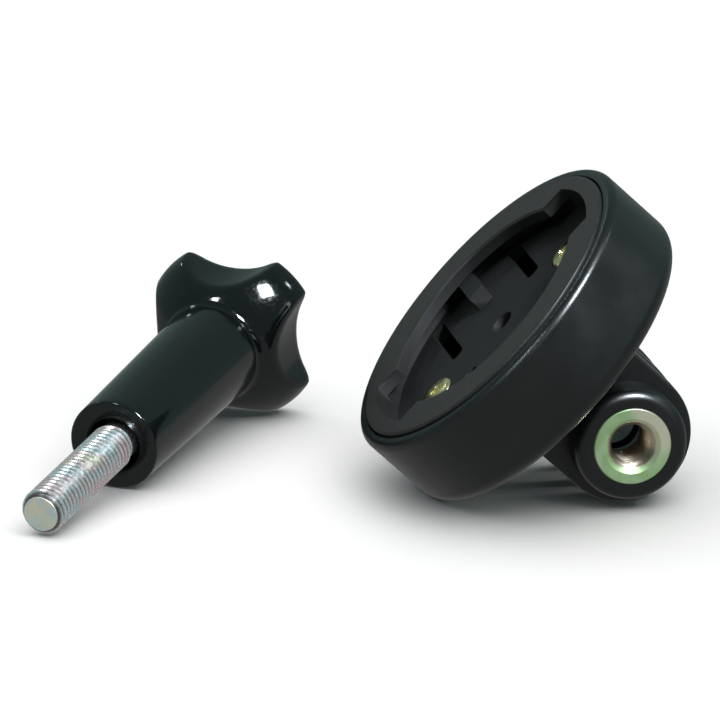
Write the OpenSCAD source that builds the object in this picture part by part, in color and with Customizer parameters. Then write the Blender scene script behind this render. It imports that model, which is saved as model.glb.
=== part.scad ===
// Quarter-turn mount for a bike computer, with its clamp thumb screw taken out and lying beside it.
// The head lies on the rim of its drum and on the ends of its three fingers.
// The origin is on the bolt axis, in the middle of the fingers, and the bolt axis runs along Y.

/* [Drum] */
// Outer radius of the drum
drum_r = 19.5; // [18:0.1:24]
// Height of the drum along its own axis
drum_h = 10.6; // [9:0.1:15]
// Thickness of the drum's wall around the socket insert
rim_wall = 1.4; // [1:0.1:2]
// Thickness of the drum's wall below the socket insert
drum_wall = 2.8; // [2.2:0.1:3.4]
// Thickness of the drum's back wall
back_wall = 2; // [1.2:0.1:2.6]
// Rounding of the drum's front edge
front_round = 0.55; // [0.2:0.05:0.9]
// Rounding of the drum's back edge
back_round = 2.1; // [0.5:0.1:2.6]

/* [Clamp fingers] */
// Distance from the drum's back face to the bolt axis
axis_drop = 8.8; // [8.6:0.1:14]
// Radius of the fingers' round ends
finger_end_r = 7.5; // [6:0.1:7.8]
// Thickness of each finger
finger_t = 3; // [2:0.1:4]
// Width of each gap between the fingers
finger_gap = 3; // [2:0.1:4]
// Depth of each gap, from the bolt axis towards the drum
gap_reach = 8.1; // [7:0.1:8.5]
// Radius of the bolt hole through the fingers
bolt_bore_r = 2.6; // [2.5:0.05:3]

/* [Nut boss] */
// Outer radius of the boss on the near finger
boss_r = 6.2; // [5.4:0.1:7]
// How far the boss stands out of the finger
boss_h = 4.05; // [2:0.05:6]
// Rounding of the boss's front edge
boss_round = 0.9; // [0.3:0.1:1.1]
// Outer radius of the threaded bush
bush_r = 4.3; // [3.6:0.1:4.8]
// Length of the threaded bush
bush_len = 5.8; // [3:0.1:6.5]
// Radius of the bush's threaded hole, at the crests of the thread
thread_bore_r = 2.1; // [2:0.05:2.3]
// Radius of the bush's countersink at its face
countersink_r = 3.1; // [2.4:0.1:3.3]

/* [Socket insert] */
// Running gap between the insert and the drum's wall
insert_gap = 0.15; // [0.05:0.05:0.4]
// How far the insert's face stands above the drum's rim
insert_proud = 0.35; // [0:0.05:1]
// Rounding of the insert's outer edge
insert_round = 0.3; // [0.1:0.05:0.6]
// Thickness of the insert's wall around the undercut
insert_wall = 1.95; // [1.35:0.05:2.95]
// How far the socket's lip reaches in over the undercut
lip_reach = 2.7; // [2:0.1:4]
// Thickness of the socket's lip
lip_t = 1.4; // [0.8:0.1:1.8]
// Depth of the socket's floor below the insert's face
socket_depth = 3.2; // [2.6:0.1:4]
// Thickness of the socket's floor
floor_t = 1.5; // [1:0.1:2]
// Width of the two entry notches in the lip
notch_w = 12.2; // [10:0.1:14]
// Chamfer along the socket's opening
edge_break = 0.25; // [0.1:0.05:0.5]
// Radius of the hole in the middle of the floor
centre_hole_r = 1.45; // [0.8:0.05:2]

/* [Click springs] */
// Distance from the middle to each spring slot
slot_offset = 6.1; // [5:0.1:7]
// Width of each spring slot
slot_w = 1.8; // [1:0.1:2.4]
// Where each spring slot starts, from the middle line
slot_start = 3.1; // [2.4:0.1:6]
// How far the slots' outer ends stay inside the undercut
slot_margin = 0.6; // [0.2:0.1:1.5]
// Rounding of the slots' corners
slot_corner = 0.7; // [0.2:0.1:0.7]
// Width of each click bump
bump_w = 2; // [1:0.1:4]
// Where each click bump starts, from the middle line
bump_start = 7.6; // [6:0.1:10]
// Height of each click bump above the floor
bump_h = 1.7; // [0.6:0.1:1.7]
// How far the inner face of each click bump leans back
bump_lean = 0.6; // [0.2:0.1:1.2]

/* [Insert screws] */
// Distance of each screw from the socket's round opening
screw_inset = 3; // [2.3:0.1:4.3]
// Radius of each screw's head
screw_head_r = 2; // [1.6:0.1:2.4]
// Height of each screw's head
screw_head_h = 0.9; // [0.5:0.1:1.2]
// Radius of each screw's shank
screw_shank_r = 1.1; // [0.8:0.1:1.3]
// Length of each screw's shank
screw_len = 4.6; // [3:0.1:5]
// Depth of the counterbore that each screw's head sits in
screw_sink = 0.6; // [0.2:0.1:0.8]
// Depth of the cross recess in each screw's head
recess_depth = 0.6; // [0.3:0.1:0.8]
// Radius of the posts that the screws turn into
post_r = 2.6; // [2:0.1:3]

/* [Thumb screw] */
// Radius of the sleeve at its open end
sleeve_r = 5.1; // [4.8:0.1:6]
// Radius of the sleeve where it meets the grip
sleeve_root_r = 5.7; // [5:0.1:6.4]
// Length of the sleeve
sleeve_len = 25.8; // [16:0.1:34]
// Radius of the bore in the sleeve's open end
sleeve_bore_r = 3.25; // [2.7:0.05:4]
// Depth of the bore in the sleeve's open end
sleeve_bore_len = 5; // [2:0.5:8]
// Radius at which the grip's dome ends and its flare starts
grip_r = 9; // [8.5:0.1:11]
// How far the lobes' tips stand out past the dome
grip_flare = 1.75; // [0:0.05:2.5]
// Height of the grip
grip_h = 9.9; // [9.4:0.1:14]
// Height of the grip's dome on the sleeve's side
dome_h = 5.3; // [4:0.1:6.5]
// Rounding of the grip's outer end
grip_round = 1.7; // [0.5:0.1:2]
// Radius of the hollows between the lobes
hollow_r = 8.1; // [7:0.1:14]
// Depth of the hollows below the radius at which the dome ends
hollow_depth = 1.65; // [1:0.05:2.2]
// Rounding of the neck between the sleeve and the grip
neck_round = 1.2; // [0.5:0.1:2]
// Radius of the threaded stud
stud_r = 2.5; // [2.2:0.05:2.6]
// Length of the stud that is moulded into the sleeve
stud_hold = 14; // [8:0.5:16]
// Chamfer at the stud's tip
stud_chamfer = 0.6; // [0.3:0.1:1]
// Radius of the stud's bare shank, where it is moulded into the sleeve
shank_r = 2.25; // [2:0.05:2.4]
// How far outside the sleeve the thread ends
thread_stop = 0.3; // [0.1:0.1:1]

/* [Fits and resting place] */
// Clearance around what is moulded in or turned in
seat_gap = 0.02; // [0.01:0.01:0.1]
// Place of the sleeve's open end beside the head, along X
screw_x = -54; // [-80:0.5:-52]
// Place of the sleeve's open end beside the head, along Y
screw_y = 5.4; // [-40:0.1:40]
// Direction in which the thumb screw points, from +Y towards +X
screw_turn = 32.8; // [-40:0.2:40]

/* [Hidden] */
$fn = 96;
eps = 0.01;

// The head's own frame: z runs out of the socket, y runs out of the nut boss, and the bolt axis is at z = 0
clamp_w = 3*finger_t + 2*finger_gap;
rim_z = axis_drop + drum_h;
face_z = rim_z + insert_proud;
floor_z = face_z - socket_depth;
ledge_z = floor_z - floor_t;
seat_r = drum_r - rim_wall;
insert_r = seat_r - insert_gap;
undercut_r = insert_r - insert_wall;
socket_r = undercut_r - lip_reach;
screw_offset = socket_r - screw_inset;
cavity_r = drum_r - drum_wall;
cavity_z = axis_drop + back_wall;
post_root = axis_drop + back_wall/2;
screw_seat = floor_z - screw_sink;
slot_end = sqrt(pow(undercut_r - slot_margin, 2) - pow(slot_offset + slot_w/2, 2));
boss_face = clamp_w/2 + boss_h;
bush_back = boss_face - bush_len;

// The head leans until the drum's back edge and the fingers' ends both touch the ground
edge_x = drum_r - back_round;
edge_z = axis_drop + back_round;
lean = atan2(edge_z, edge_x) + asin((finger_end_r - back_round)/norm([edge_x, edge_z]));
ground_z = -finger_end_r;

// The thumb screw's own frame: z runs from the sleeve's open end to the grip
stud_out = clamp_w + boss_h;
stud_root = sleeve_bore_len + stud_hold;
grip_top = sleeve_len + grip_h;
rim_r = grip_r + grip_flare;
rim_top = grip_top - grip_round;
dome_r = (dome_h*dome_h + grip_r*grip_r)/(2*dome_h);
dome_z = sleeve_len + dome_r;
hollow_offset = grip_r - hollow_depth + hollow_r;

// The thumb screw rests on two lobes, and on the sleeve's open end or on the stud's tip
function lobe_drop(radius) =
    (radius*radius + hollow_offset*hollow_offset - hollow_r*hollow_r)/(2*hollow_offset);
function rise_on(drop, z) =
    min(atan2(drop - sleeve_r, z), atan2(drop - stud_r, z + stud_out - stud_chamfer));
rise_near = rise_on(lobe_drop(grip_r), sleeve_len + dome_h);
rise_far = rise_on(lobe_drop(rim_r), rim_top);
rise = max(rise_near, rise_far);
rest_z = rise_far > rise_near ? rim_top : sleeve_len + dome_h;
rest_drop = lobe_drop(rise_far > rise_near ? rim_r : grip_r);
screw_up = rest_drop*cos(rise) - rest_z*sin(rise);

// Stands a shape of the head's own frame in its resting lean
module in_head() rotate([0, -lean, 0]) rotate([0, 0, 180]) children();

// Lays a shape of the thumb screw's own frame on the ground
module in_screw()
    translate([screw_x, screw_y, ground_z + screw_up])
    rotate([0, 0, -screw_turn])
    rotate([rise - 90, 0, 0])
    children();

// A cylinder along the bolt axis, from one place on it to another
module along_bolt(from, to, radius)
    translate([0, from, 0]) rotate([-90, 0, 0]) cylinder(h = to - from, r = radius);

// The drum's outer form, with both edges rounded, as a half section to revolve
module drum_section() {
    difference() {
        translate([0, axis_drop]) square([drum_r, drum_h]);
        translate([drum_r - back_round, axis_drop]) mirror([0, 1]) corner_cut(back_round);
        translate([drum_r - front_round, rim_z]) corner_cut(front_round);
    }
}

// What a rounding takes off the outer top corner of a half section
module corner_cut(radius)
    translate([0, -radius]) difference() {
        square([radius + eps, radius + eps]);
        circle(radius);
    }

// Outline of the fingers, seen along the bolt axis
module finger_outline() {
    circle(finger_end_r);
    translate([-finger_end_r, 0]) square([2*finger_end_r, post_root]);
}

module fingers() {
    difference() {
        rotate([90, 0, 0]) linear_extrude(clamp_w, center = true) finger_outline();
        for (side = [-1, 1])
            translate([0, side*(finger_t + finger_gap)/2, gap_reach/2 - finger_end_r/2])
                cube([2*drum_r, finger_gap, gap_reach + finger_end_r + eps], center = true);
    }
}

// Round boss on the near finger, with its front edge rounded
module nut_boss() {
    rotate([-90, 0, 0]) rotate_extrude() difference() {
        square([boss_r, boss_face]);
        translate([boss_r - boss_round, boss_face]) corner_cut(boss_round);
    }
}

module screw_posts()
    for (side = [-1, 1])
        translate([side*screw_offset, 0, post_root]) cylinder(h = ledge_z - post_root, r = post_r);

// One moulding: the drum's cup, the three clamp fingers and the nut boss
module housing() {
    color([0.16, 0.17, 0.18]) in_head() difference() {
        union() {
            difference() {
                rotate_extrude() drum_section();
                translate([0, 0, ledge_z]) cylinder(h = drum_h, r = seat_r);
                translate([0, 0, cavity_z]) cylinder(h = drum_h, r = cavity_r);
            }
            screw_posts();
            fingers();
            intersection() {
                nut_boss();
                translate([-boss_r, clamp_w/2 - finger_t, -boss_r]) cube([2*boss_r, clamp_w, 2*boss_r]);
            }
        }
        along_bolt(-clamp_w, clamp_w/2, bolt_bore_r);
        along_bolt(bush_back - seat_gap, boss_face + eps, bush_r + seat_gap);
        for (side = [-1, 1])
            translate([side*screw_offset, 0, screw_seat - screw_len - seat_gap])
                cylinder(h = screw_len, r = screw_shank_r + seat_gap);
    }
}

// The insert's half section: rim, lip, undercut and floor
module insert_section() {
    difference() {
        translate([0, ledge_z]) square([insert_r, face_z - ledge_z]);
        translate([insert_r - insert_round, face_z]) corner_cut(insert_round);
        translate([0, floor_z]) square([undercut_r, socket_depth - lip_t]);
        translate([0, floor_z]) square([socket_r, socket_depth + eps]);
        polygon([[0, face_z + eps], [0, face_z - edge_break],
                 [socket_r, face_z - edge_break], [socket_r + edge_break + eps, face_z + eps]]);
    }
}

// Entry notches: the lip is cut away as far as the undercut
module entry_notches()
    intersection() {
        translate([0, 0, (floor_z + face_z - lip_t)/2]) cylinder(h = socket_depth, r = undercut_r);
        translate([0, 0, face_z]) cube([2*drum_r, notch_w, 2*socket_depth], center = true);
    }

// Outline of a slot that starts at y = 0 and runs along +Y, with rounded corners at its start
module slot_outline(width, reach, corner) {
    translate([-width/2, corner]) square([width, reach - corner]);
    translate([corner - width/2, 0]) square([width - 2*corner, reach]);
    for (side = [-1, 1]) translate([side*(width/2 - corner), corner]) circle(corner);
}

// Four slots that free the spring tongues below the lip
module spring_slots()
    for (side = [-1, 1], turn = [0, 180]) rotate([0, 0, turn])
        translate([side*slot_offset, slot_start, ledge_z - eps])
            linear_extrude(floor_t + 2*eps) slot_outline(slot_w, slot_end - slot_start, slot_corner);

// Click bumps on the spring tongues, rooted in the floor and in the undercut's wall
module click_bumps()
    for (turn = [0, 180])
        rotate([0, 0, turn]) translate([0, 0, floor_z]) rotate([90, 0, 90])
            linear_extrude(bump_w, center = true)
                polygon([[bump_start, -floor_t/2], [bump_start, 0], [bump_start + bump_lean, bump_h],
                         [(undercut_r + insert_r)/2, bump_h], [(undercut_r + insert_r)/2, -floor_t/2]]);

// The quarter-turn socket, moulded as one ring and floor and screwed into the drum
module socket_insert() {
    color([0.22, 0.23, 0.24]) in_head() {
        difference() {
            rotate_extrude() insert_section();
            entry_notches();
            spring_slots();
            translate([0, 0, ledge_z - eps]) cylinder(h = floor_t + 2*eps, r = centre_hole_r);
            for (side = [-1, 1]) translate([side*screw_offset, 0, 0]) {
                translate([0, 0, ledge_z - eps]) cylinder(h = floor_t, r = screw_shank_r + seat_gap);
                translate([0, 0, screw_seat]) cylinder(h = screw_sink + eps, r = screw_head_r + seat_gap);
            }
        }
        click_bumps();
    }
}

// A pan-head screw with a cross recess, on one side of the socket's floor
module insert_screw(side)
    color([0.85, 0.75, 0.4]) in_head() translate([side*screw_offset, 0, screw_seat]) {
        difference() {
            rotate_extrude() difference() {
                square([screw_head_r, screw_head_h]);
                translate([screw_head_r - screw_head_h/2, screw_head_h]) corner_cut(screw_head_h/2);
            }
            for (turn = [45, 135]) rotate([0, 0, turn])
                translate([0, 0, screw_head_h - recess_depth/2 + eps])
                    cube([screw_head_r*1.2, screw_head_r*0.3, recess_depth], center = true);
        }
        translate([0, 0, -screw_len]) cylinder(h = screw_len + eps, r = screw_shank_r);
    }

module insert_screw_left() insert_screw(-1);

module insert_screw_right() insert_screw(1);

// Threaded bush, flush with the boss's face
module nut_bush() {
    color([0.75, 0.84, 0.6]) in_head() difference() {
        along_bolt(bush_back, boss_face, bush_r);
        along_bolt(bush_back - eps, boss_face + eps, thread_bore_r);
        translate([0, boss_face + eps, 0]) rotate([90, 0, 0])
            cylinder(h = countersink_r - thread_bore_r + 2*eps,
                     r1 = countersink_r + eps, r2 = thread_bore_r - eps);
    }
}

// The grip's half section: dome on the sleeve's side, flaring rim and rounded outer end
module grip_section()
    difference() {
        polygon([[0, sleeve_len], [grip_r, sleeve_len], [grip_r, sleeve_len + dome_h],
                 [rim_r, rim_top], [rim_r, grip_top], [0, grip_top]]);
        translate([rim_r - grip_round, grip_top]) corner_cut(grip_round);
        difference() {
            translate([0, sleeve_len - eps]) square([grip_r + eps, dome_h + eps]);
            translate([0, dome_z]) circle(dome_r);
        }
    }

// The neck's half section: a rounding that touches the sleeve and the dome
module neck_section() {
    neck_r = sleeve_root_r + neck_round;
    neck_z = dome_z - sqrt(pow(dome_r + neck_round, 2) - neck_r*neck_r);
    touch = dome_r/(dome_r + neck_round);
    touch_z = dome_z - (dome_z - neck_z)*touch;
    difference() {
        polygon([[0, neck_z], [neck_r, neck_z], [neck_r*touch, touch_z], [0, touch_z]]);
        translate([neck_r, neck_z]) circle(neck_round);
    }
}

// Tapering sleeve, neck and grip in one moulding, with four hollows that leave four lobes
module knob() {
    color([0.13, 0.14, 0.15]) in_screw() difference() {
        rotate_extrude() {
            polygon([[0, 0], [sleeve_r, 0],
                     [sleeve_root_r, sleeve_len + dome_h/2], [0, sleeve_len + dome_h/2]]);
            neck_section();
            grip_section();
        }
        for (turn = [0 : 90 : 270]) rotate([0, 0, turn])
            translate([hollow_offset, 0, sleeve_len - eps]) cylinder(h = grip_h + 2*eps, r = hollow_r);
        translate([0, 0, -eps]) cylinder(h = sleeve_bore_len + eps, r = sleeve_bore_r);
        cylinder(h = stud_root + seat_gap, r = shank_r + seat_gap);
    }
}

// Threaded stud, moulded into the sleeve, with a chamfered tip
module stud() {
    color([0.75, 0.75, 0.76]) in_screw() {
        translate([0, 0, -stud_out]) cylinder(h = stud_chamfer, r1 = stud_r - stud_chamfer, r2 = stud_r);
        translate([0, 0, stud_chamfer - stud_out])
            cylinder(h = stud_out - stud_chamfer - thread_stop, r = stud_r);
        translate([0, 0, -thread_stop]) cylinder(h = thread_stop + stud_root, r = shank_r);
    }
}

housing();
socket_insert();
insert_screw_left();
insert_screw_right();
nut_bush();
knob();
stud();
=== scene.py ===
"""Quarter-turn mount for a bike computer and its thumb screw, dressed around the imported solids."""

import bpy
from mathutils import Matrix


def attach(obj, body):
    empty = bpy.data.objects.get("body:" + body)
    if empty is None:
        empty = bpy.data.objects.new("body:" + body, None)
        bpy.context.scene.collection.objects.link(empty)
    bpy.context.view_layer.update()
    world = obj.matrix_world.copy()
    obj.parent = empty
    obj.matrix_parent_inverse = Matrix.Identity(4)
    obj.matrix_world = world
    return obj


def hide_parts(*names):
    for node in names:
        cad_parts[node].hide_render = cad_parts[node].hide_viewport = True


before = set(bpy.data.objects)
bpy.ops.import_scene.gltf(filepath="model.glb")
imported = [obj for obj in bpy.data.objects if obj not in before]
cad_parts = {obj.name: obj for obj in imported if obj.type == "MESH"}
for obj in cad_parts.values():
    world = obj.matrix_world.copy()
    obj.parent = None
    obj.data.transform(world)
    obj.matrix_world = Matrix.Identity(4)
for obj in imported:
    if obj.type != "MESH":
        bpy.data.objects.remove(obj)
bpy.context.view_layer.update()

import math

import bmesh
import bpy
from mathutils import Matrix, Vector

# Camera. A long lens, low in front of the two parts and slightly to their left, rolled by less
# than a degree. Its place is the one that brings the head's edges onto those of the photograph.
CAMERA_AZIMUTH = math.radians(11.21)
CAMERA_ELEVATION = math.radians(16.23)
CAMERA_ROLL = math.radians(0.70)
ORIGIN_IN_CAMERA = Vector((0.027201, 0.006144, 0.657253))  # right, down and away, in metres
LENS, SENSOR = 300, 36

right = Vector((math.cos(CAMERA_AZIMUTH), -math.sin(CAMERA_AZIMUTH), 0))
forward = Vector((math.sin(CAMERA_AZIMUTH)*math.cos(CAMERA_ELEVATION),
                  math.cos(CAMERA_AZIMUTH)*math.cos(CAMERA_ELEVATION), -math.sin(CAMERA_ELEVATION)))
down = forward.cross(right)
rolled_right = math.cos(CAMERA_ROLL)*right - math.sin(CAMERA_ROLL)*down
rolled_down = math.sin(CAMERA_ROLL)*right + math.cos(CAMERA_ROLL)*down
camera = bpy.data.objects.new("camera", bpy.data.cameras.new("camera"))
camera.data.lens, camera.data.sensor_width = LENS, SENSOR
camera.data.clip_start, camera.data.clip_end = 0.05, 20
axes = Matrix((rolled_right, -rolled_down, -forward)).transposed()
away = Matrix((rolled_right, rolled_down, forward)).transposed() @ ORIGIN_IN_CAMERA
camera.matrix_world = Matrix.Translation(-away) @ axes.to_4x4()
bpy.context.scene.collection.objects.link(camera)
bpy.context.scene.camera = camera

# Studio. A white table under a dim grey-green room whose lower half is a lighter grey. A very wide
# lamp overhead only fills, and four small square ones round the table only glint on the gloss.
TABLE_HEIGHT = -0.0075
TABLE_SIZE = 12
TABLE_COLOURS = (0.95, 0.90, 0.905), (0.97, 0.92, 0.925)
ROOM_COLOUR, BELOW_COLOUR = (0.17, 0.24, 0.23), (0.31, 0.31, 0.31)
BELOW_ENDS, ROOM_STARTS = -0.06, -0.02  # heights of a view direction between the two colours
GLINT_COLOUR = (0.86, 0.94, 1.0)
LAMPS = {  # azimuth, elevation, distance, size, power, fills, glints
    "overhead": (0.0, 88.0, 2.2, 5.0, 125.0, True, False),
    "square_front": (24.0, 50.0, 0.9, 0.21, 28.0, False, True),
    "square_right": (93.0, 40.0, 1.2, 0.12, 0.7, False, True),
    "square_left": (-56.0, 36.0, 1.2, 0.15, 4.0, False, True),
    "square_back": (-150.0, 35.0, 1.2, 0.10, 0.6, False, True),
}


class Wire:
    """An output in a material's node tree. Arithmetic on wires adds Math nodes."""

    def __init__(self, finish, socket):
        self.finish, self.socket = finish, socket

    def maths(self, operation, *values):
        return self.finish.node("ShaderNodeMath", {"operation": operation}, dict(enumerate(values)))

    def __add__(self, other): return self.maths("ADD", self, other)
    def __sub__(self, other): return self.maths("SUBTRACT", self, other)
    def __rsub__(self, other): return self.maths("SUBTRACT", other, self)
    def __mul__(self, other): return self.maths("MULTIPLY", self, other)
    def __pow__(self, other): return self.maths("POWER", self, other)

    def between(self, low, high, to_low=0.0, to_high=1.0):
        """Maps low..high smoothly onto to_low..to_high."""
        return self.finish.node("ShaderNodeMapRange", {"interpolation_type": "SMOOTHSTEP"},
                                {0: self, 1: low, 2: high, 3: to_low, 4: to_high})


class Finish:
    """A material under construction. Its constants are set on the shader's own sockets."""

    def __init__(self, name, **constants):
        self.material = bpy.data.materials.new(name)
        self.material.use_nodes = True
        self.tree = self.material.node_tree
        self.shader = self.tree.nodes["Principled BSDF"]
        for socket, value in constants.items():
            self.shader.inputs[socket.replace("_", " ")].default_value = value
        self.place = self.node("ShaderNodeTexCoord", {}, {}, "Object")

    def node(self, kind, settings, inputs, output=0):
        """Adds a node: its settings first, then the value or link of each of its sockets."""
        made = self.tree.nodes.new(kind)
        for name, value in settings.items():
            if name == "stops":
                while len(made.color_ramp.elements) < len(value):
                    made.color_ramp.elements.new(1.0)
                for stop, (where, colour) in zip(made.color_ramp.elements, value):
                    stop.position, stop.color = where, (*colour, 1)
            else:
                setattr(made, name, value)
        for name, value in inputs.items():
            self.join(made.inputs[name], value)
        return Wire(self, made.outputs[output])

    def join(self, socket, value):
        """Links a wire to a socket, or sets the socket to a number, a vector or a colour."""
        if isinstance(value, Wire):
            self.tree.links.new(value.socket, socket)
        elif socket.type == "RGBA":
            socket.default_value = (*value, 1)
        else:
            socket.default_value = value

    def feed(self, **wires):
        """Links wires to the shader's sockets."""
        for name, wire in wires.items():
            self.join(self.shader.inputs[name.replace("_", " ")], wire)

    def noise(self, scale, detail=2.0, roughness=0.5):
        """Cloudy values from 0 to 1, with scale counted over a metre."""
        return self.node("ShaderNodeTexNoise", {}, {"Vector": self.place, "Scale": scale,
                         "Detail": detail, "Roughness": roughness}, "Fac")

    def mix(self, factor, first, second):
        """A colour from first to second. Sockets 6 and 7 are a Mix node's colours."""
        return self.node("ShaderNodeMix", {"data_type": "RGBA"}, {0: factor, 6: first, 7: second}, 2)

    def ramp(self, factor, stops):
        """A colour from a list of (position, colour)."""
        return self.node("ShaderNodeValToRGB", {"stops": stops}, {0: factor})

    def dot(self, first, second):
        """The dot product of two vectors."""
        return self.node("ShaderNodeVectorMath", {"operation": "DOT_PRODUCT"},
                         {0: first, 1: second}, 1)

    def bump(self, height, distance, strength):
        """A normal for a relief of that distance, in metres."""
        return self.node("ShaderNodeBump", {},
                         {"Height": height, "Distance": distance, "Strength": strength})


table_finish = Finish("white_table", Roughness=0.6, Specular_IOR_Level=0.2)
table_finish.feed(Base_Color=table_finish.mix(table_finish.noise(3.0), *TABLE_COLOURS))
table_bm = bmesh.new()
bmesh.ops.create_grid(table_bm, x_segments=4, y_segments=4, size=TABLE_SIZE/2)
bmesh.ops.translate(table_bm, vec=(0, 0, TABLE_HEIGHT), verts=table_bm.verts)
table = bpy.data.objects.new("table", bpy.data.meshes.new("table"))
table_bm.to_mesh(table.data)
table_bm.free()
table.data.materials.append(table_finish.material)
bpy.context.scene.collection.objects.link(table)

for name, (azimuth, elevation, distance, size, power, fills, glints) in LAMPS.items():
    lamp = bpy.data.objects.new(name, bpy.data.lights.new(name, "AREA"))
    lamp.data.shape, lamp.data.size, lamp.data.energy = "SQUARE", size, power
    lamp.data.color = (1, 1, 1) if fills else GLINT_COLOUR
    lamp.visible_diffuse, lamp.visible_glossy = fills, glints
    a, e = math.radians(azimuth), math.radians(elevation)
    towards = Vector((math.sin(a)*math.cos(e), -math.cos(a)*math.cos(e), math.sin(e)))
    aim = towards.to_track_quat("Z", "Y").to_matrix().to_4x4()
    lamp.matrix_world = Matrix.Translation(towards*distance) @ aim
    bpy.context.scene.collection.objects.link(lamp)

# The table's bright white would grey the black plastics, so gloss sees the room's lower half instead.
table.visible_glossy = False

world = bpy.data.worlds.new("room")
world.use_nodes = True
nodes, links = world.node_tree.nodes, world.node_tree.links
place, split, below, tint = (nodes.new("ShaderNode" + kind)
                             for kind in ("TexCoord", "SeparateXYZ", "MapRange", "Mix"))
below.interpolation_type, tint.data_type = "SMOOTHSTEP", "RGBA"
for socket, value in enumerate((BELOW_ENDS, ROOM_STARTS, 1.0, 0.0), start=1):
    below.inputs[socket].default_value = value
for socket, colour in ((6, ROOM_COLOUR), (7, BELOW_COLOUR)):
    tint.inputs[socket].default_value = (*colour, 1)
links.new(place.outputs["Generated"], split.inputs[0])
links.new(split.outputs[2], below.inputs[0])
links.new(below.outputs[0], tint.inputs[0])
links.new(tint.outputs[2], nodes["Background"].inputs["Color"])
bpy.context.scene.world = world
bpy.context.scene.view_settings.view_transform = "Standard"

# Housing. One nylon moulding: a round cup with softly rounded edges, three clamp fingers under its
# back wall, and a round boss on the near finger that holds the threaded bush.
MM = 0.001
HEAD_LEAN = math.radians(47.3128)
DRUM_R, DRUM_BACK, RIM_HEIGHT = 19.5, 8.8, 19.4
FRONT_ROUND, BACK_ROUND, SEAT_BREAK = 0.9, 2.1, 0.12
SEAT_R, LEDGE_HEIGHT, CAVITY_R, CAVITY_HEIGHT = 18.1, 15.05, 16.7, 10.8
FINGER_R, FINGER_WIDTH, FINGER_PITCH, FINGER_ROOT = 7.5, 3.0, 6.0, 9.8
FINGER_ROUND = 0.3
WEB_HEIGHT, WEB_PAST_FINGER = 8.1, 1
BOLT_R, BOLT_START = 2.6, -20
BOSS_R, BOSS_FACE, BOSS_ROUND, BOSS_DEPTH = 6.2, 11.55, 1.2, 8
BUSH_SEAT_R, BUSH_BACK = 4.32, 5.75
POST_OFFSET, POST_R = 10.3, 2.6
in_head = Matrix.Rotation(-HEAD_LEAN, 4, "Y") @ Matrix.Rotation(math.pi, 4, "Z")
along_bolt = Matrix.Rotation(-math.pi/2, 4, "X")


def arc(centre, radius, start, end, steps=8):
    """Points on an arc in a half section, from one angle to another, in degrees."""
    for i in range(steps + 1):
        angle = math.radians(start + (end - start)*i/steps)
        yield (centre[0] + radius*math.cos(angle), centre[1] + radius*math.sin(angle))


def turned(outline, turns=144, place=Matrix()):
    """A bmesh of an outline of (radius, height) points, spun round Z and put in place."""
    bm = bmesh.new()
    points = [bm.verts.new((radius, 0, height)) for radius, height in outline]
    edges = [bm.edges.new(pair) for pair in zip(points, points[1:])]
    bmesh.ops.spin(bm, geom=points + edges, cent=(0, 0, 0), axis=(0, 0, 1),
                   angle=math.tau/4, steps=turns//4, use_merge=False)
    quarter = bm.verts[:] + bm.edges[:] + bm.faces[:]
    for i in (1, 2, 3):
        copy = bmesh.ops.duplicate(bm, geom=quarter)["geom"]
        bmesh.ops.rotate(bm, cent=(0, 0, 0), matrix=Matrix.Rotation(i*math.tau/4, 3, "Z"),
                         verts=[v for v in copy if isinstance(v, bmesh.types.BMVert)])
    bmesh.ops.remove_doubles(bm, verts=bm.verts, dist=1e-4)
    bmesh.ops.recalc_face_normals(bm, faces=bm.faces)
    bmesh.ops.transform(bm, matrix=place, verts=bm.verts)
    return bm


def scratch(bm):
    """A throw-away object that holds a bmesh."""
    held = bpy.data.objects.new("scratch", bpy.data.meshes.new("scratch"))
    bm.to_mesh(held.data)
    bm.free()
    bpy.context.scene.collection.objects.link(held)
    return held


def carved(solid, steps):
    """A bmesh of solid with others joined to it (UNION) or cut from it (DIFFERENCE), in turn."""
    body, others = scratch(solid), []
    for operation, other in steps:
        others.append(scratch(other))
        boolean = body.modifiers.new(operation, "BOOLEAN")
        boolean.operation, boolean.solver, boolean.object = operation, "EXACT", others[-1]
    evaluated = body.evaluated_get(bpy.context.evaluated_depsgraph_get())
    bm = bmesh.new()
    bm.from_mesh(evaluated.to_mesh())
    for held in [body, *others]:
        mesh = held.data
        bpy.data.objects.remove(held)
        bpy.data.meshes.remove(mesh)
    return bm


def show(name, bm, place, material, replaced, sharp=40):
    """Shows a bmesh in mm as a piece in metres that rides on the one body, in place of a CAD node."""
    bmesh.ops.transform(bm, matrix=Matrix.Scale(MM, 4) @ place, verts=bm.verts)
    mesh = bpy.data.meshes.new(name)
    for face in bm.faces:
        face.smooth = True
    bm.to_mesh(mesh)
    bm.free()
    mesh.set_sharp_from_angle(angle=math.radians(sharp))
    mesh.materials.append(material)
    made = bpy.data.objects.new(name, mesh)
    bpy.context.scene.collection.objects.link(made)
    weighted = made.modifiers.new("even_normals", "WEIGHTED_NORMAL")
    weighted.weight, weighted.keep_sharp = 100, True
    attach(made, "root")
    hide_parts(replaced)


def round_edges(bm, amount, sharper_than, segments):
    """Rounds the outer edges at which a bmesh turns by more than an angle in degrees."""
    sharp = [e for e in bm.edges if len(e.link_faces) == 2 and e.is_convex
             and math.degrees(e.calc_face_angle()) > sharper_than]
    bmesh.ops.bevel(bm, geom=sharp, offset=amount, offset_type="OFFSET", affect="EDGES",
                    segments=segments, profile=0.5, material=-1, clamp_overlap=True)


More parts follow.
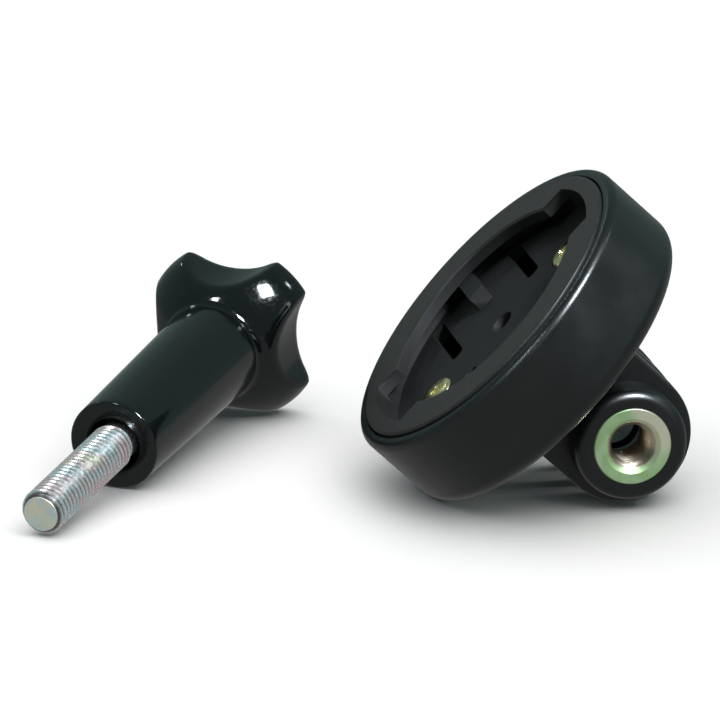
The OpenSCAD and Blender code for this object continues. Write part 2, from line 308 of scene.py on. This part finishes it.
def finger(middle):
    """One finger: a round-ended plate with soft edges that ends in the drum's back wall."""
    bm = bmesh.new()
    bmesh.ops.create_circle(bm, cap_ends=True, segments=112, radius=FINGER_R,
                            matrix=Matrix.Translation((0, middle - FINGER_WIDTH/2, 0)) @ along_bolt)
    upper = [v for v in bm.verts if v.co.z > 1e-4]
    bmesh.ops.translate(bm, vec=(0, 0, FINGER_ROOT), verts=upper)
    wall = bmesh.ops.extrude_face_region(bm, geom=bm.faces[:])["geom"]
    bmesh.ops.translate(bm, vec=(0, FINGER_WIDTH, 0),
                        verts=[v for v in wall if isinstance(v, bmesh.types.BMVert)])
    bmesh.ops.recalc_face_normals(bm, faces=bm.faces)
    round_edges(bm, FINGER_ROUND, 60, 3)
    bmesh.ops.bisect_plane(bm, geom=bm.verts[:] + bm.edges[:] + bm.faces[:], dist=1e-5,
                           plane_co=(0, 0, FINGER_ROOT), plane_no=(0, 0, 1), clear_outer=True)
    bmesh.ops.holes_fill(bm, edges=[e for e in bm.edges if e.is_boundary], sides=0)
    return bm


def bar(low, high):
    """A block between two corners."""
    bm = bmesh.new()
    bmesh.ops.create_cube(bm, size=1.0)
    bmesh.ops.scale(bm, vec=[b - a for a, b in zip(low, high)], verts=bm.verts)
    bmesh.ops.translate(bm, vec=[(a + b)/2 for a, b in zip(low, high)], verts=bm.verts)
    return bm


def rod(radius, low, high, place, turns=96):
    """A closed rod from low to high."""
    return turned([(0, low), (radius, low), (radius, high), (0, high)], turns, place)


drum = turned([(0, DRUM_BACK),
               *arc((DRUM_R - BACK_ROUND, DRUM_BACK + BACK_ROUND), BACK_ROUND, -90, 0, 14),
               *arc((DRUM_R - FRONT_ROUND, RIM_HEIGHT - FRONT_ROUND), FRONT_ROUND, 0, 90, 12),
               (SEAT_R + SEAT_BREAK, RIM_HEIGHT), (SEAT_R, RIM_HEIGHT - SEAT_BREAK),
               (SEAT_R, LEDGE_HEIGHT), (CAVITY_R, LEDGE_HEIGHT), (CAVITY_R, CAVITY_HEIGHT),
               (0, CAVITY_HEIGHT)], 192)
boss = turned([(0, BOSS_FACE - BOSS_DEPTH), (BOSS_R, BOSS_FACE - BOSS_DEPTH),
               *arc((BOSS_R - BOSS_ROUND, BOSS_FACE - BOSS_ROUND), BOSS_ROUND, 0, 90, 10),
               (0, BOSS_FACE)], 128, along_bolt)
web_half, web_end = FINGER_R - FINGER_ROUND, FINGER_PITCH + WEB_PAST_FINGER
web = bar((-web_half, -web_end, WEB_HEIGHT), (web_half, web_end, FINGER_ROOT))
posts = [rod(POST_R, FINGER_ROOT, LEDGE_HEIGHT, Matrix.Translation((side*POST_OFFSET, 0, 0)), 48)
         for side in (-1, 1)]
housing = carved(drum, [
    *(("UNION", finger(side*FINGER_PITCH)) for side in (-1, 0, 1)), ("UNION", web), ("UNION", boss),
    *(("UNION", post) for post in posts),
    ("DIFFERENCE", rod(BOLT_R, BOLT_START, BUSH_BACK + 0.5, along_bolt)),
    ("DIFFERENCE", rod(BUSH_SEAT_R, BUSH_BACK, BOSS_FACE + 1, along_bolt))])

nylon = Finish("satin_black_nylon", Specular_IOR_Level=0.5)
grain = nylon.noise(5200, 3.0, 0.6)
cloud = nylon.noise(160, 2.0)
nylon.feed(Base_Color=nylon.mix(cloud, (0.0020, 0.0032, 0.0038), (0.0034, 0.0048, 0.0055)),
           Roughness=cloud.between(0.3, 0.7, 0.26, 0.34) + grain*0.05,
           Normal=nylon.bump(grain, 0.00002, 0.6))
show("housing_moulding", housing, in_head, nylon.material, "housing")

# Socket insert. One acetal moulding, pressed into the drum: a lip with two entry notches over an
# undercut, and a slotted floor whose two tongues click a foot into place. It is the CAD solid with
# its outer edges broken. Below the lip's face it is duller and painted near-black as shade.
INSERT_EDGE = 0.14
LIP_HEIGHT, PAINTED_SHADE_FADE = 19.6, 0.15
acetal = Finish("satin_grey_acetal", Specular_IOR_Level=0.3)
haze = acetal.noise(220, 3.0)
pits = acetal.noise(4200, 2.0)
head_up = in_head.to_3x3() @ Vector((0, 0, 1))
above = acetal.dot(acetal.place, head_up)
# Painted shade: below the lip's face the colour is mixed nearly to black; the same mask also raises
# the roughness.
below_lip_shade_and_dullness = above.between((LIP_HEIGHT - PAINTED_SHADE_FADE)*MM, LIP_HEIGHT*MM, 1.0, 0.0)
lip_face = acetal.mix(haze, (0.0155, 0.0140, 0.0138), (0.0235, 0.0215, 0.0212))
acetal.feed(Base_Color=acetal.mix(below_lip_shade_and_dullness*0.9, lip_face, (0.002, 0.0025, 0.0023)),
            Roughness=haze.between(0.3, 0.7, 0.36, 0.5) + below_lip_shade_and_dullness*0.25,
            Normal=acetal.bump(pits, 0.000015, 0.5))


def softened(node, amount):
    """A bmesh in mm of a CAD node, its flat faces merged and its sharp outer edges broken."""
    bm = bmesh.new()
    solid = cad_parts[node]
    bm.from_mesh(solid.data)
    bmesh.ops.transform(bm, matrix=Matrix.Scale(1/MM, 4) @ solid.matrix_world, verts=bm.verts)
    bmesh.ops.remove_doubles(bm, verts=bm.verts, dist=1e-3)
    bmesh.ops.dissolve_limit(bm, angle_limit=math.radians(1.0), verts=bm.verts, edges=bm.edges)
    round_edges(bm, amount, 40, 2)
    bmesh.ops.recalc_face_normals(bm, faces=bm.faces)
    return bm


show("socket_moulding", softened("socket_insert", INSERT_EDGE), Matrix(), acetal.material,
     "socket_insert")

# Insert screws. Two pan-head steel screws in yellow zinc plate, sunk into the socket's floor.
SCREW_SEAT, HEAD_R, HEAD_H, HEAD_ROUND, HEAD_CROWN = 15.95, 2.0, 0.9, 0.55, 0.05
SHANK_R, SHANK, SHANK_CHAMFER, SHANK_END_R = 1.1, 4.6, 0.3, 0.9
RECESS_W, RECESS_R, RECESS_D = 0.62, 1.2, 0.62
TIP_LENGTH_SHARE, TIP_WIDTH_SHARE = 0.45, 0.6
GOLD_STOPS = [(0.25, (0.80, 0.60, 0.26)), (0.5, (0.92, 0.80, 0.47)), (0.75, (0.70, 0.76, 0.40))]


def cross_tip():
    """The point of a cross driver: two crossed wedges that narrow downwards."""
    blades = []
    for turn in (0, math.pi/2):
        blade = bar((-RECESS_R, -RECESS_W/2, -RECESS_D), (RECESS_R, RECESS_W/2, RECESS_D))
        for v in blade.verts:
            if v.co.z < 0:
                v.co.x *= TIP_LENGTH_SHARE
                v.co.y *= TIP_WIDTH_SHARE
        bmesh.ops.transform(blade, matrix=Matrix.Rotation(turn, 4, "Z"), verts=blade.verts)
        blades.append(blade)
    return blades


gold = Finish("yellow_zinc_plate", Metallic=1.0, Roughness=0.24)
tarnish = gold.noise(900, 4.0)
gold.feed(Base_Color=gold.ramp(tarnish, GOLD_STOPS), Roughness=tarnish.between(0.3, 0.7, 0.16, 0.34))
for side_name, side, recess_turn in (("left", -1, 28), ("right", 1, 63)):
    head_side = HEAD_H*0.4
    pan = turned([(0, -SHANK), (SHANK_END_R, -SHANK), (SHANK_R, -SHANK + SHANK_CHAMFER), (SHANK_R, 0),
                  (HEAD_R, 0), (HEAD_R, head_side),
                  *arc((HEAD_R - HEAD_ROUND, head_side), HEAD_ROUND, 0, 70, 8),
                  (0, HEAD_H + HEAD_CROWN)], 72)
    upright = Matrix.Translation((0, 0, HEAD_H)) @ Matrix.Rotation(math.radians(recess_turn), 4, "Z")
    blades = cross_tip()
    for blade in blades:
        bmesh.ops.transform(blade, matrix=upright, verts=blade.verts)
    show("pan_screw_" + side_name, carved(pan, [("DIFFERENCE", blade) for blade in blades]),
         in_head @ Matrix.Translation((side*POST_OFFSET, 0, SCREW_SEAT)), gold.material,
         "insert_screw_" + side_name)

# Threaded bush. A turned steel bush in pale green zinc plate, pressed into the boss, countersunk
# at its face and threaded M5 x 0.8 inside.
BUSH_R, BUSH_CHAMFER, FACE_BREAK = 4.3, 0.3, 0.15
SINK_R, CREST_R, SINK_OVERCUT = 3.1, 2.1, 0.1
THREAD_R, PITCH = 2.5, 0.8
THREAD_OUTLINE = [  # along the axis and outwards, in shares of its own length and of the depth
    (0.0, 0), (0.10, 0), (0.16, 0.05), (0.50, 0.90), (0.56, 1), (0.64, 1), (0.70, 0.90), (1.04, 0.05)]


def threaded_rod(outer, inner, low, high, tip=None, steps=72):
    """A closed rod with a metric thread from low to high. Its low end is chamfered by tip."""
    full = THREAD_OUTLINE[-1][0]
    outline = [(inner + (outer - inner)*share, low - PITCH + PITCH*at/full)
               for at, share in THREAD_OUTLINE]
    outline.append((inner, low))
    bm = bmesh.new()
    points = [bm.verts.new((radius, 0, height)) for radius, height in outline]
    edges = [bm.edges.new(pair) for pair in zip(points, points[1:])]
    bmesh.ops.spin(bm, geom=points + edges, cent=(0, 0, 0), axis=(0, 0, 1), dvec=(0, 0, PITCH/steps),
                   angle=math.tau, steps=steps, use_merge=False)
    one_turn = bm.verts[:] + bm.edges[:] + bm.faces[:]
    for i in range(1, math.ceil((high - low)/PITCH) + 2):
        copy = bmesh.ops.duplicate(bm, geom=one_turn)["geom"]
        bmesh.ops.translate(bm, vec=(0, 0, i*PITCH),
                            verts=[v for v in copy if isinstance(v, bmesh.types.BMVert)])
    bmesh.ops.remove_doubles(bm, verts=bm.verts, dist=1e-3)
    for height, normal in ((low, (0, 0, -1)), (high, (0, 0, 1))):
        bmesh.ops.bisect_plane(bm, geom=bm.verts[:] + bm.edges[:] + bm.faces[:], dist=1e-4,
                               plane_co=(0, 0, height), plane_no=normal, clear_outer=True)
    if tip:
        for v in bm.verts:
            reach = math.hypot(v.co.x, v.co.y)
            limit = outer - tip + (v.co.z - low)
            if reach > limit:
                v.co.x, v.co.y = v.co.x*limit/reach, v.co.y*limit/reach
    bmesh.ops.holes_fill(bm, edges=[e for e in bm.edges if e.is_boundary], sides=0)
    bmesh.ops.recalc_face_normals(bm, faces=bm.faces)
    return bm


sink_floor = BOSS_FACE - (SINK_R - CREST_R) - SINK_OVERCUT
bush = turned([(0, BUSH_BACK), (BUSH_R - BUSH_CHAMFER, BUSH_BACK), (BUSH_R, BUSH_BACK + BUSH_CHAMFER),
               (BUSH_R, BOSS_FACE - FACE_BREAK), (BUSH_R - FACE_BREAK, BOSS_FACE),
               (SINK_R, BOSS_FACE),
               (CREST_R - SINK_OVERCUT, sink_floor), (0, sink_floor)], 128)
bush = carved(bush, [("DIFFERENCE", threaded_rod(THREAD_R, CREST_R, BUSH_BACK - 1, BOSS_FACE + 1))])
bmesh.ops.transform(bush, matrix=along_bolt, verts=bush.verts)
pale = Finish("pale_green_zinc_plate")
across, up = (pale.node("ShaderNodeSeparateXYZ", {}, {0: pale.place}, axis) for axis in (0, 2))
from_axis = (across*across + up*up)**0.5
inside = from_axis.between(0.00252, 0.0028, 1.0, 0.0)
mottle = pale.noise(420, 3.0)
patch = pale.noise(110, 2.0)
green = pale.mix(mottle.between(0.35, 0.65), (0.30, 0.46, 0.22), (0.40, 0.56, 0.32))
plated = pale.mix(patch.between(0.42, 0.56), green, (0.54, 0.53, 0.40))
core = pale.mix(mottle, (0.34, 0.25, 0.17), (0.66, 0.60, 0.52))
pale.feed(Base_Color=pale.mix(inside, plated, core), Roughness=inside*-0.16 + 0.42 + mottle*0.06,
          Metallic=inside*0.5 + 0.5)
show("threaded_bush", bush, in_head, pale.material, "nut_bush", sharp=30)

# Stud. An M5 x 0.8 steel stud in bright zinc plate with a faint rainbow, chamfered at its tip.
# Its bare shank is moulded into the sleeve.
STUD_OUT, STUD_CHAMFER, STUD_ROOT, BARE_R, THREAD_STOP = 19.05, 0.6, 19.0, 2.25, 0.3
STUD_CORE_R = 2.04
RAINBOW = [(0.30, (0.80, 0.57, 0.63)), (0.42, (0.78, 0.74, 0.74)), (0.50, (0.64, 0.78, 0.80)),
           (0.58, (0.82, 0.68, 0.68)), (0.70, (0.70, 0.80, 0.60))]
RISE, TURN = math.radians(7.1111), math.radians(32.8)
SLEEVE_END = Vector((-54, 5.4, -2.4392))
in_screw = (Matrix.Translation(SLEEVE_END) @ Matrix.Rotation(-TURN, 4, "Z")
            @ Matrix.Rotation(RISE - math.pi/2, 4, "X"))
stud = threaded_rod(THREAD_R, STUD_CORE_R, -STUD_OUT, -THREAD_STOP, tip=STUD_CHAMFER)
stud = carved(stud, [("UNION", rod(BARE_R, -THREAD_STOP - 0.5, STUD_ROOT, Matrix()))])
zinc = Finish("bright_zinc_plate", Metallic=0.7)
sheen = zinc.noise(190, 2.0, 0.6)
specks = zinc.noise(2600, 3.0)
from_end = zinc.node("ShaderNodeVectorMath", {"operation": "SUBTRACT"},
                     {0: zinc.place, 1: SLEEVE_END*MM})
screw_up = in_screw.to_3x3() @ Vector((0, 0, 1))
along = zinc.dot(from_end, screw_up)
from_axis = (zinc.dot(from_end, from_end) - along*along)**0.5
# Painted shade: the thread's grooves, away from the tip, are mixed almost to black where shade falls
# between the turns.
groove_shade_mask = from_axis.between(0.00210, 0.00246, 1.0, 0.0)
tip = along.between((-STUD_OUT + 0.02)*MM, (-STUD_OUT + 0.08)*MM, 1.0, 0.0)
rainbow_with_groove_shade = zinc.mix(groove_shade_mask*(1.0 - tip)*0.95, zinc.ramp(sheen, RAINBOW), (0.10, 0.08, 0.08))
end_face = zinc.mix(zinc.noise(520).between(0.4, 0.6), (0.70, 0.72, 0.50), (0.48, 0.68, 0.70))
zinc.feed(Base_Color=zinc.mix(tip*0.7, rainbow_with_groove_shade, end_face),
          Roughness=specks.between(0.3, 0.7, 0.20, 0.30) + tip*0.2)
show("threaded_stud", stud, in_screw, zinc.material, "stud", sharp=35)

# Thumb screw's knob. One high-gloss moulding: a sleeve that tapers towards its open end, a neck,
# and a grip with four hollows. Three arcs that touch, a dome, a shoulder and a crown, round it off.
SLEEVE_R, SLEEVE_ROOT_R, SLEEVE_LEN, SLEEVE_BORE_R, SLEEVE_BORE = 5.1, 5.7, 25.8, 3.0, 5.0
DOME_R, DOME_END, SHOULDER_R, CROWN_R, NECK_ROUND, EDGE = 11.2, -33, 6.0, 1.5, 1.2, 0.25
HOLLOW_R, HOLLOW_OFFSET, LOBE_SOFTNESS = 9.6, 16.95, 0.5
SLEEVE_RINGS, TOP_RINGS, CORE_R = 24, 14, 3.5  # nothing within the core's radius is drawn in
DOME_Z = SLEEVE_LEN + DOME_R
neck_r = SLEEVE_ROOT_R + NECK_ROUND
neck_z = DOME_Z - math.sqrt((DOME_R + NECK_ROUND)**2 - neck_r**2)
neck_touch = math.degrees(math.atan2(DOME_Z - neck_z, -neck_r))
dome_start = math.degrees(math.atan2(neck_z - DOME_Z, neck_r))
bend = math.radians(DOME_END)
shoulder = ((DOME_R - SHOULDER_R)*math.cos(bend), DOME_Z + (DOME_R - SHOULDER_R)*math.sin(bend))
crown = (shoulder[0] + SHOULDER_R - CROWN_R, shoulder[1])
sleeve = [(SLEEVE_BORE_R + EDGE, 0), (SLEEVE_R - EDGE, 0),
          *arc((SLEEVE_R - EDGE, EDGE), EDGE, -90, 0, 5),
          *((SLEEVE_R + (SLEEVE_ROOT_R - SLEEVE_R)*i/SLEEVE_RINGS, neck_z*i/SLEEVE_RINGS)
            for i in range(1, SLEEVE_RINGS)),
          *arc((neck_r, neck_z), NECK_ROUND, 180, neck_touch, 12)]
grip = [*list(arc((0, DOME_Z), DOME_R, dome_start, DOME_END, 48))[1:],
        *list(arc(shoulder, SHOULDER_R, DOME_END, 0, 24))[1:],
        *list(arc(crown, CROWN_R, 0, 90, 22))[1:]]
rim_r, top_z = crown[0] + CROWN_R, crown[1] + CROWN_R
top = [*((crown[0]*(1 - i/TOP_RINGS), top_z) for i in range(1, TOP_RINGS)), (0, top_z)]
bore = [(0, STUD_ROOT + 0.02), (BARE_R + 0.02, STUD_ROOT + 0.02), (BARE_R + 0.02, SLEEVE_BORE),
        (SLEEVE_BORE_R, SLEEVE_BORE), (SLEEVE_BORE_R, EDGE), (SLEEVE_BORE_R + EDGE, 0)]


def soft_least(a, b, softness):
    """The smaller of two lengths, rounded off where they are alike."""
    h = max(softness*2 - abs(a - b), 0)/(softness*2)
    return min(a, b) - h*h*softness/2


# Four upright cylinders hollow the grip: each point is drawn in to the nearest of them.
knob = turned([*bore[:-1], *sleeve, *grip, *top], 360)
for v in knob.verts:
    reach = math.hypot(v.co.x, v.co.y)
    if reach < CORE_R or v.co.z < SLEEVE_LEN - 1:
        continue
    off = (math.atan2(v.co.y, v.co.x) + math.pi/4) % (math.pi/2) - math.pi/4
    aside, wall = HOLLOW_OFFSET*math.sin(off), math.inf
    if abs(aside) < HOLLOW_R:
        wall = HOLLOW_OFFSET*math.cos(off) - math.sqrt(HOLLOW_R**2 - aside**2)
    if v.co.z > crown[1] - 1e-4:
        share = soft_least(rim_r, wall, LOBE_SOFTNESS)/rim_r
        drawn_in = reach*(1 + (share - 1)*min(1.0, reach/rim_r))
    else:
        drawn_in = soft_least(reach, wall, LOBE_SOFTNESS)
    v.co.x, v.co.y = v.co.x*drawn_in/reach, v.co.y*drawn_in/reach
gloss = Finish("high_gloss_black", Specular_IOR_Level=0.5)
ripple = gloss.noise(420, 2.0)
dust = gloss.noise(2600, 3.0)
gloss.feed(Base_Color=gloss.mix(ripple, (0.0025, 0.0040, 0.0045), (0.0045, 0.0060, 0.0065)),
           Roughness=dust.between(0.35, 0.75, 0.07, 0.15), Normal=gloss.bump(ripple, 0.00003, 0.35))
show("thumb_grip", knob, in_screw, gloss.material, "knob", sharp=60)
